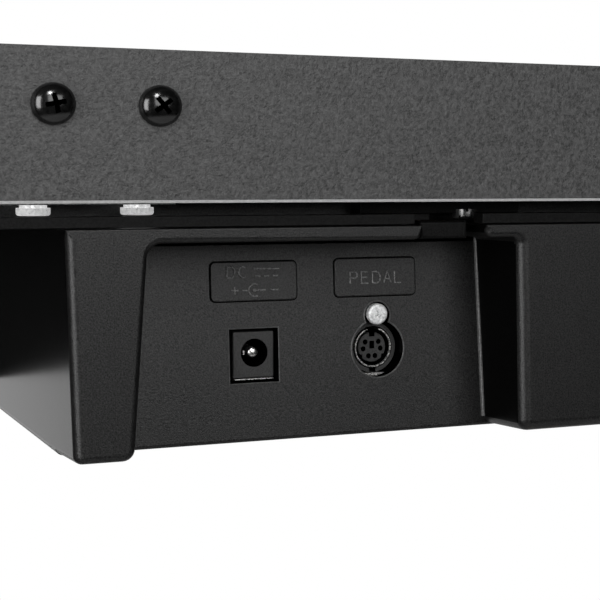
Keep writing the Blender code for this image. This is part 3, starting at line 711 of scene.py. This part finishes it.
def make_core():
    """The housing's main box, whose back is the socket panel."""
    inset = 0.03
    outline = [(LEFT + inset, TOP - inset)]
    outline += arc(LEFT + DRAFT + 1.2, BOTTOM + 1.2, 1.2 - inset, 180, 270, 4)
    outline += arc(RIGHT - DRAFT - 2, BOTTOM + 2, 2 - inset, 270, 360, 5)
    outline += [(RIGHT - inset, TOP - inset)]
    rounding = [0.1] + [1.0] * (len(outline) - 2) + [0.1]
    bm = prism(outline, FRONT, CORE_BACK, rounding, rounding, with_panel)
    core = piece("housing_core", bm, HOUSING_PLASTIC, replaces=["electronics_housing"])
    x, z = POWER_JACK
    square = box_bm((x + HOLE_X[0], 104, z + HOLE_Z[0]), (x + HOLE_X[1], 130, z + HOLE_Z[1]))
    # A groove along the top of the panel, with its faces painted black, paints the shadow in the corner
    # under the lip.
    shadow_groove = box_bm((RECESS_LEFT[0] + 0.8, 114.5, -10.3), (RECESS_RIGHT[0] - 1, 130, -8))
    keyhole = prism(keyhole_outline(), 100, 130)
    cut(core, tool("power_hole", square), tool("keyhole", keyhole), tool("shadow_under_lip", shadow_groove))
    polish_and_shade_sides(core, SHADED_HOUSING_SIDE)


def rim_of_hole(name, outline, width, rise, material):
    """A thin rounded bead on the panel, outside an outline."""
    bm = bmesh.new()
    count = len(outline)
    steps = 5
    rings = []
    for k in range(steps + 1):
        turn = math.pi * k / steps
        out, up = width * (1 - math.cos(turn)) / 2, rise * math.sin(turn)
        ring = []
        for i in range(count):
            here, before, after = (Vector(outline[j % count]) for j in (i, i - 1, i + 1))
            along = (after - before).normalized()
            normal = Vector((along.y, -along.x))
            point = here + normal * (out - 0.02)
            ring.append(bm.verts.new(on_panel(point.x, up, point.y)))
        rings.append(ring)
    skin(bm, rings, ends=False)
    piece(name, bm, material)


def make_hole_rims():
    """Beads round the two openings, painted light as highlights."""
    rim_of_hole("pedal_socket_rim", keyhole_outline(), 0.4, 0.2, RIM_HIGHLIGHT_PLASTIC)
    x, z = POWER_JACK
    (left, right), (low, high) = HOLE_X, HOLE_Z
    corners = [(left, low), (right, low), (right, high), (left, high)]
    rim_of_hole("power_jack_rim", [(x + a, z + b) for a, b in corners], 0.4, 0.2, RIM_HIGHLIGHT_PLASTIC)


def make_fillet():
    """Rounded inner corner between the socket panel and the recess's side wall, painted light as a
    highlight.
    """
    bm = bmesh.new()
    radius = 0.7
    profile = [(-0.3, -0.3), (radius, -0.3)] + arc(radius, radius, radius, 270, 180, 5) + [(-0.3, radius)]
    rings = []
    for z, wall in ((RECESS_CEILING, RECESS_LEFT[0]), (BOTTOM + 2.4, RECESS_LEFT[1])):
        rings.append([bm.verts.new(section(wall + x, panel_y(z) + y, z)) for x, y in profile])
    skin(bm, rings, ends=True)
    piece("housing_fillet", bm, RIM_HIGHLIGHT_PLASTIC)


def make_tongue():
    """A tongue behind the end of the lip, under the case screw."""
    left, right, top = 334.9, 347.4, -4.6
    outline = [(left, RECESS_CEILING), (left, top), (right, top), (right - 0.2, RECESS_CEILING)]
    bm = prism(outline, 130, 137.6, 0.3, 0.8)
    piece("housing_tongue", bm, TONGUE_PLASTIC)


def make_case_skirt():
    """Skirt of the case over the housing, open where the case screw is, darker than the case as painted
    shade.
    """
    low, high = TOP + 0.3, TOP + 2.7
    front, back = 134.5, 138.9
    for name, ends in (("case_skirt_left", (349.5, 611)), ("case_skirt_right", (-611, 331.5))):
        outline = [(ends[0], low), (ends[1], low), (ends[1], high), (ends[0], high)]
        piece(name, prism(outline, front, back, 0, 0.15), SHADED_SKIRT_PLASTIC)


CASE_SCREW_Y = in_section((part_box("case_screw")[0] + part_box("case_screw")[1]) / 2).y


def make_case_tab():
    """The case's tab in its notch, which the case screw holds, darker than the case as painted shade."""
    left, right, low, high = 312, 356, -3.2, -0.4
    outline = [(left, low), (right, low), (right, high), (left, high)]
    bm = prism(outline, 117.3, CASE_SCREW_Y + 0.8, 0, 0.3)
    piece("case_tab", bm, SHADED_SKIRT_PLASTIC)


def on_panel(x, up, z):
    """A point on the socket panel, at a height above its face."""
    tilt = math.atan((PANEL_Y[1] - PANEL_Y[0]) / (TOP - BOTTOM))
    return section(x, panel_y(z) + up * math.cos(tilt), z + up * math.sin(tilt))


# ---------------------------------------------------------------- labels

LABEL_HALF = (10.85, 4.6)
LABEL_RISE = 0.5
STROKE = 0.2
LETTERS = {
    "D": [[(0, 0), (0, 1), (0.45, 1)] + arc(0.45, 0.5, 0.5, 90, -90, 8) + [(0, 0)]],
    "C": [arc(0.5, 0.5, 0.5, 50, 310, 10)],
    "P": [[(0, 0), (0, 1), (0.6, 1)] + arc(0.6, 0.74, 0.26, 90, -90, 6) + [(0, 0.48)]],
    "E": [[(0.8, 0), (0, 0), (0, 1), (0.8, 1)], [(0, 0.52), (0.7, 0.52)]],
    "A": [[(0, 0), (0.45, 1), (0.9, 0)], [(0.16, 0.35), (0.74, 0.35)]],
    "L": [[(0, 1), (0, 0), (0.75, 0)]],
}


def ridge(name, strokes, centre):
    """Raised strokes on a label. Each stroke is a list of (right, up) points, as read from behind."""
    curve = bpy.data.curves.new(name, "CURVE")
    curve.dimensions = "3D"
    curve.bevel_depth = STROKE * MM
    curve.bevel_resolution = 2
    for stroke in strokes:
        spline = curve.splines.new("POLY")
        spline.points.add(len(stroke) - 1)
        for point, (right, up) in zip(spline.points, stroke):
            point.co = (*on_panel(centre[0] - right, LABEL_RISE + 0.12, centre[1] + up), 1)
    obj = bpy.data.objects.new(name, curve)
    bpy.context.scene.collection.objects.link(obj)
    bpy.context.view_layer.update()
    mesh = bpy.data.meshes.new_from_object(obj.evaluated_get(bpy.context.evaluated_depsgraph_get()))
    bpy.data.objects.remove(obj)
    bm = bmesh.new()
    bm.from_mesh(mesh)
    # The strokes' light colour is painted highlight.
    return piece(name, bm, STROKE_HIGHLIGHT_PLASTIC, sharp=60)


def word(text, left, base, size, pitch):
    """Strokes of a word, from its lower left corner."""
    strokes = []
    for i, letter in enumerate(text):
        for stroke in LETTERS[letter]:
            strokes.append([(left + i * pitch + x * size * 0.8, base + y * size) for x, y in stroke])
    return strokes


def make_label(name, centre, strokes):
    """A raised plate with rounded corners, a dark line round it as painted shadow, and strokes on it painted
    light as highlights.
    """
    half_x, half_z = LABEL_HALF
    radius = 1.1
    outline = []
    for sx, sz, start in ((1, 1, 0), (-1, 1, 90), (-1, -1, 180), (1, -1, 270)):
        corner = (centre[0] + sx * (half_x - radius), centre[1] + sz * (half_z - radius))
        outline += arc(*corner, radius, start, start + 90, 5)
    piece(name, prism(outline, -0.5, LABEL_RISE, 0, 0.22, on_panel, 3), HOUSING_PLASTIC)
    # A thin black bead at the plate's foot: painted shadow.
    rim_of_hole(name + "_edge", outline, 0.3, 0.03, SHADE_BLACK)
    ridge(name + "_strokes", strokes, centre)


def make_labels():
    """Direct-current and polarity symbols over the power socket, and a word over the pedal socket."""
    dashes = [[(x, 1.2), (x + 1.3, 1.2)] for x in (0.2, 2.4, 4.6)]
    polarity = [
        [(-5.9, -2.1), (-4.1, -2.1)],
        [(-5.0, -3.0), (-5.0, -1.2)],
        [(-3.2, -2.1), (-1.5, -2.1)],
        arc(0, -2.1, 1.5, 60, 300, 12),
        arc(0, -2.1, 0.3, 0, 360, 6),
        [(0.2, -2.1), (2.8, -2.1)],
        [(4.0, -2.1), (6.0, -2.1)],
    ]
    power = word("DC", -6.9, 0.9, 2.6, 3.0) + [[(-0.3, 2.9), (6.3, 2.9)]] + dashes + polarity
    make_label("power_label", (382.1, -18.9), power)
    make_label("pedal_label", (350.4, -18.65), word("PEDAL", -6.9, -1.5, 2.8, 3.0))


# ---------------------------------------------------------------- sockets

def make_power_jack():
    """Square socket body with its bore, pin, contact leaf and a strip of its metal shield."""
    low, high = (in_section(corner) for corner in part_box("dc_jack_body"))
    pin_low, pin_high = (in_section(corner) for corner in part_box("dc_jack_pin"))
    x, z = (pin_low.x + pin_high.x) / 2, (pin_low.z + pin_high.z) / 2
    bm = box_bm(low, high)
    jack = piece("power_jack", bm, SOCKET_PLASTIC, replaces=["dc_jack_body"])
    round_edges(jack, 0.35)
    bake(jack)
    bore = [(0, 2), (3.4, 2), (3.4, -9.5), (0, -9.5)]
    # The bore's faces are painted black as painted shade.
    cut(jack, tool("barrel", turned(bore, section(x, high.y, z), "Y", 48)))
    radius = (pin_high.x - pin_low.x) / 2 * 1.25
    nose, end = 0.7, 8.4
    profile = [(radius * math.sin(a), -nose * (1 - math.cos(a))) for a in quarter_turns(6)]
    profile += [(radius, -end), (0, -end)]
    bm = turned(profile, section(x, pin_high.y, z), "Y", 24)
    piece("power_pin", bm, SHELL, replaces=["dc_jack_pin"], sharp=60)
    left, right, bottom, top = x - 4.9, x + 5.1, z - 6.45, z - 6.15
    outline = [(left, bottom), (right, bottom), (right, top), (left, top)]
    piece("power_shield", prism(outline, 108, high.y + 0.2, 0, 0.08), SHELL)
    leaf = box_bm((x + 2.2, high.y - 6, z - 0.5), (x + 2.6, high.y - 0.8, z + 0.5))
    piece("power_contact", leaf, SHELL)


def make_pedal_socket():
    """Round socket: body, keyed core with its pin holes, shell, a black liner as painted shade in its gap,
    and lower tab.
    """
    low, high = (in_section(corner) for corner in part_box("pedal_socket_ring"))
    x, z = (low.x + high.x) / 2, (low.z + high.z) / 2
    front = high.y
    profile = [(0, -0.9), (6.25, -0.9), (6.25, -1.2), (6.3, -13), (0, -13)]
    bm = turned(profile, section(x, front + 0.5, z), "Y", 56)
    body = piece("pedal_socket", bm, SOCKET_PLASTIC, replaces=["pedal_socket_body"])
    # The cut faces of the well, the notch and the pin holes are painted black as painted shade.
    well = [(0, 2), (5.25, 2), (5.25, -8), (0, -8)]
    notch = box_bm((x - 0.9, front - 6, z - 7), (x + 0.9, front + 3, z - 4.6))
    cut(body, tool("well", turned(well, section(x, front, z), "Y", 56)), tool("foot_notch", notch))
    radius = 3.75
    sunk = front - 0.7
    profile = [(0, 0), (radius - 0.15, 0), (radius, -0.15), (radius, -8), (0, -8)]
    bm = turned(profile, section(x, sunk, z), "Y", 48)
    core = piece("pedal_socket_core", bm, SOCKET_PLASTIC)
    pin_hole = [(0, 2), (0.66, 2), (0.66, -7), (0, -7)]
    cutters = [box_bm((x - 0.65, front - 6, z - 0.4), (x + 0.65, front + 3, z + 1.5))]
    cutters += [box_bm((x - 0.75, front - 6, z + 2.6), (x + 0.75, front + 3, z + 5))]
    for side in (-1, 1):
        for across, up in ((1.8, 1.3), (2.35, -0.4), (0.9, -2.2)):
            cutters.append(turned(pin_hole, section(x + side * across, sunk, z + up), "Y", 16))
        step = (x + side * 2.6, x + side * 4.2)
        cutters.append(box_bm((min(step), front - 6, z - 4), (max(step), front + 3, z - 1.75)))
    cut(core, *[tool(f"core_cutter_{i}", bm) for i, bm in enumerate(cutters)])
    round_edges(core, 0.08, 1, 40)
    shell = [(4.55, -0.12), (4.62, 0), (4.88, 0), (4.95, -0.12), (4.95, -7), (4.55, -7)]
    bm = open_ring(shell, section(x, front, z), "Y", -90, 38, 60)
    piece("pedal_socket_shell", bm, SHELL, replaces=["pedal_socket_ring"])
    # A black ring inside the shell: painted shade in the gap.
    shade_liner = [(4.3, -0.5), (4.53, -0.5), (4.53, -7.5), (4.3, -7.5)]
    bm = open_ring(shade_liner, section(x, front, z), "Y", -90, 38, 60)
    piece("pedal_socket_shade_liner", bm, SHADE_BLACK)
    tab = [(x + 2.9, z - 6.3), (x + 1.5, z - 6.9), (x - 1.5, z - 6.9), (x - 2.9, z - 6.3)]
    piece("pedal_socket_tab", prism(tab, front - 6, front + 0.6), SHELL)


def make_socket_screw():
    """Pan-head screw in the keyhole's smaller lobe."""
    low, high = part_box("pedal_socket_screw")
    radius = (high.x - low.x) / 2 / MM
    tip = Vector(((low.x + high.x) / 2, high.y, (low.z + high.z) / 2 + 0.4 * MM))
    profile = [(0, 0), (radius - 0.7, -0.05)] + arc(radius - 0.7, -0.75, 0.7, 80, 0, 5)
    profile += [(radius, -1.7), (1.1, -1.7), (1.1, -6.5), (0, -6.5)]
    bm = turned(profile, tip, "Y", 40)
    head = piece("pedal_socket_fixing", bm, ZINC, replaces=["pedal_socket_screw"], sharp=40)
    cut(head, cross_recess("fixing_recess", tip, "Y", 3.0, 0.7, 30, ZINC))


# ---------------------------------------------------------------- carried-over parts

def carry(nodes, material, width=0.0, segments=2):
    """Gives CAD nodes a finish and rounds their edges."""
    for name in nodes:
        node = frame["nodes"][name]
        for slot in node.material_slots:
            slot.link = "OBJECT"
            slot.material = material
        if width:
            weld = node.modifiers.new("weld", "WELD")
            weld.merge_threshold = 0.00001
            flat = node.modifiers.new("flat", "DECIMATE")
            flat.decimate_type = "DISSOLVE"
            flat.angle_limit = math.radians(1)
            round_edges(node, width, segments)


def both(name):
    """A piece of the left side and its twin on the right."""
    return [f"left_{name}", f"right_{name}"]


def carry_all():
    """Finishes of the pieces that keep their CAD shape."""
    octaves = range(1, 8)
    buttons = ["power_button", "voice_button", "metronome_button", "record_button"]
    panels = both("side_panel") + both("foot") + ["stand_back_panel", "pedal_box"]
    carry([f"white_keys_{i}" for i in octaves], IVORY, 0.8)
    carry([f"black_keys_{i}" for i in octaves], EBONY, 0.9)
    carry(["bottom_case", "top_panel", "headphone_unit"] + both("speaker_grille"), CASE_PLASTIC, 0.5)
    carry(["music_rest"], CASE_PLASTIC, 0.8)
    carry(both("end_block") + ["front_rail"], LAMINATE, 1.2)
    carry(panels, LAMINATE, 1.0)
    carry(buttons + ["volume_knob", "height_adjuster"], EBONY, 0.4)
    carry(["soft_pedal", "sostenuto_pedal", "damper_pedal"], BRASS, 1.5, 4)
    carry(["rear_bracket", "pedal_axle"], ZINC)
    carry(["key_frame", "pedal_bracket"], FRAME_STEEL, 0.3)
    carry(["rear_rail"], WOOD, 0.5)
    carry(["key_felt"], FELT, 0.5)
    carry(["main_circuit_board", "key_contact_board"], CIRCUIT)
    carry(both("speaker"), CONE, 0.5)


# ---------------------------------------------------------------- room, light and camera

def make_floor():
    """A pale round floor that fades out into the white room.

    It glows a little, for the camera only, so that it is pale without lighting the object from below.
    """
    radius, fade_gain, fade_offset, glow_strength = 2.4, 2.2, -1.65, 0.6
    bm = bmesh.new()
    bmesh.ops.create_circle(bm, cap_ends=True, segments=96, radius=radius)
    mesh = bpy.data.meshes.new("floor")
    bm.to_mesh(mesh)
    bm.free()
    floor = bpy.data.objects.new("floor", mesh)
    floor.location.z = -0.0005
    bpy.context.scene.collection.objects.link(floor)
    made = Nodes("floor", (0.55, 0.55, 0.55), 0.9)
    tree = made.tree
    length = tree.nodes.new("ShaderNodeVectorMath")
    length.operation = "LENGTH"
    tree.links.new(made.where, length.inputs[0])
    fade = made.ramp(length.outputs["Value"], [(0.0, 0.0), (1.0, 1.0)])
    fade.node.color_ramp.interpolation = "EASE"
    scaled = made.math("MULTIPLY_ADD", length.outputs["Value"], fade_gain)
    scaled.node.inputs[2].default_value = fade_offset
    tree.links.new(scaled, fade.node.inputs["Fac"])
    made.bump(made.noise(4, 3), 0.2, 0.2)
    path = tree.nodes.new("ShaderNodeLightPath")
    glow = made.math("MULTIPLY", path.outputs["Is Camera Ray"], glow_strength)
    made.shader.inputs["Emission Color"].default_value = (1, 1, 1, 1)
    made.link(glow, made.shader, "Emission Strength")
    clear = tree.nodes.new("ShaderNodeBsdfTransparent")
    mix = tree.nodes.new("ShaderNodeMixShader")
    tree.links.new(fade, mix.inputs["Fac"])
    tree.links.new(made.shader.outputs["BSDF"], mix.inputs[1])
    tree.links.new(clear.outputs["BSDF"], mix.inputs[2])
    output = next(node for node in tree.nodes if node.type == "OUTPUT_MATERIAL")
    tree.links.new(mix.outputs["Shader"], output.inputs["Surface"])
    mesh.materials.append(made.material)


def make_room():
    """White to the camera. As a light it is bright in front of the object and dark elsewhere."""
    full, none = -0.93, -0.78
    world = bpy.data.worlds.new("room")
    bpy.context.scene.world = world
    world.use_nodes = True
    tree = world.node_tree
    background = tree.nodes["Background"]
    coordinates = tree.nodes.new("ShaderNodeTexCoord")
    split = tree.nodes.new("ShaderNodeSeparateXYZ")
    tree.links.new(coordinates.outputs["Generated"], split.inputs["Vector"])
    ramp = tree.nodes.new("ShaderNodeMapRange")
    ramp.inputs["From Min"].default_value = full
    ramp.inputs["From Max"].default_value = none
    ramp.inputs["To Min"].default_value = 1.0
    ramp.inputs["To Max"].default_value = 0.0
    tree.links.new(split.outputs["Y"], ramp.inputs["Value"])
    path = tree.nodes.new("ShaderNodeLightPath")
    choose = tree.nodes.new("ShaderNodeMath")
    choose.operation = "MAXIMUM"
    tree.links.new(path.outputs["Is Camera Ray"], choose.inputs[0])
    tree.links.new(ramp.outputs["Result"], choose.inputs[1])
    tree.links.new(choose.outputs["Value"], background.inputs["Strength"])
    background.inputs["Color"].default_value = (1, 1, 1, 1)


def softbox(name, place, target, size, power):
    """A rectangular light that faces its target."""
    light = bpy.data.lights.new(name, "AREA")
    light.shape = "RECTANGLE"
    light.size, light.size_y = size
    light.energy = power
    obj = bpy.data.objects.new(name, light)
    obj.location = place
    obj.rotation_euler = (Vector(target) - Vector(place)).to_track_quat("-Z", "Y").to_euler()
    bpy.context.scene.collection.objects.link(obj)


def make_lights():
    """The key, high and left lights suit the recess, the other two the front and the player's left end."""
    target = (0.38, 0.14, 0.70)
    softbox("key", (0.05, 2.2, 1.32), target, (1.8, 1.2), 19.5)
    softbox("high", (0.60, 1.55, 2.0), target, (0.35, 0.35), 11)
    softbox("left", (1.70, 0.95, 0.85), target, (0.7, 1.3), 18)
    softbox("front", (-0.4, -1.7, 2.8), (0, 0, 0.6), (2.0, 1.5), 48)
    softbox("right", (-2.4, -0.7, 1.3), (0, -0.1, 0.5), (1.2, 1.4), 30)


def make_camera():
    """A short telephoto view of the socket recess, from behind and a little to the player's right."""
    camera = bpy.data.objects.new("camera", bpy.data.cameras.new("camera"))
    camera.data.lens = 85
    camera.data.clip_start = 0.02
    bpy.context.scene.collection.objects.link(camera)
    bpy.context.scene.camera = camera
    turn, down = math.radians(22.52), math.radians(4.68)
    forward = Vector((-math.sin(turn) * math.cos(down), -math.cos(turn) * math.cos(down), -math.sin(down)))
    camera.location = (0.500, BOARD_HIGH.y + 0.2873, BOARD_LOW.z + 0.004)
    camera.rotation_euler = forward.to_track_quat("-Z", "Y").to_euler()


# ---------------------------------------------------------------- assembly

bpy.context.scene.view_settings.view_transform = "Standard"
make_camera()
make_board()
make_board_screws()
pan_head("bracket_screw_1", "bracket_screw_head_1", 20, 3.75, GLOWING_ZINC)
pan_head("bracket_screw_2", "bracket_screw_head_2", 55, 3.75, GLOWING_ZINC)
pan_head("case_screw", "case_screw_head", 30, 2.9, SHADED_ZINC, 0.2, 0.7)
make_rib()
make_left_body()
make_core()
make_labels()
make_hole_rims()
make_fillet()
make_tongue()
make_case_skirt()
make_case_tab()
make_power_jack()
make_pedal_socket()
make_socket_screw()
carry_all()
keep_flats()
make_floor()
make_room()
make_lights()
